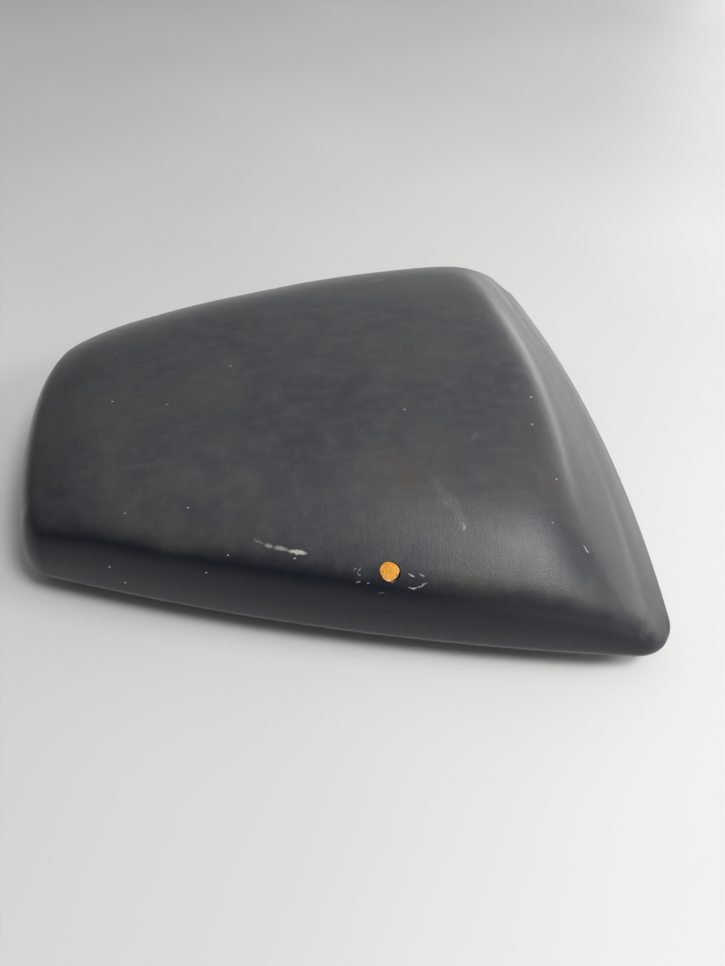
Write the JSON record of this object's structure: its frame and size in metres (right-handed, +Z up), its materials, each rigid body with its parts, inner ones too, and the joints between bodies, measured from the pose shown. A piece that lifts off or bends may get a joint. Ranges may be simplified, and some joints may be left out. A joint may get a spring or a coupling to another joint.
{
  "type": "motorcycle pillion seat",
  "caption": "Tapered foam pillion pad on a moulded base pan, with a black stapled skin worn through at one side, a front tongue, a rear striker loop and rubber buffers.",
  "frame": {"origin": "on the surface that the rubber buffers stand on, at the centre of the seat's length and width", "axes": "+X from the narrow rear end to the wide front end, +Y to the seat's left, +Z up"},
  "size_m": [0.2988, 0.2856, 0.0717],
  "materials": {
    "skin": "satin",
    "foam": "matte",
    "pan": "matte",
    "staple_wire": "satin",
    "pressed_steel": "satin",
    "plated_steel": "satin",
    "brass_insert": "satin",
    "buffer_rubber": "matte"
  },
  "bodies": {
    "root": {"cover_skin": "skin", "foam_pad": "foam", "base_pan": "pan", "cover_staples": "staple_wire", "front_tongue": "pressed_steel", "tongue_washers": "plated_steel", "tongue_screws": "plated_steel", "tongue_inserts": "brass_insert", "striker_plate": "pressed_steel", "striker_loop": "plated_steel", "striker_washers": "plated_steel", "striker_screws": "plated_steel", "striker_inserts": "brass_insert", "buffer_front_left": "buffer_rubber", "buffer_front_right": "buffer_rubber", "buffer_mid_left": "buffer_rubber", "buffer_mid_right": "buffer_rubber", "buffer_rear_left": "buffer_rubber", "buffer_rear_right": "buffer_rubber"}
  },
  "joints": []
}
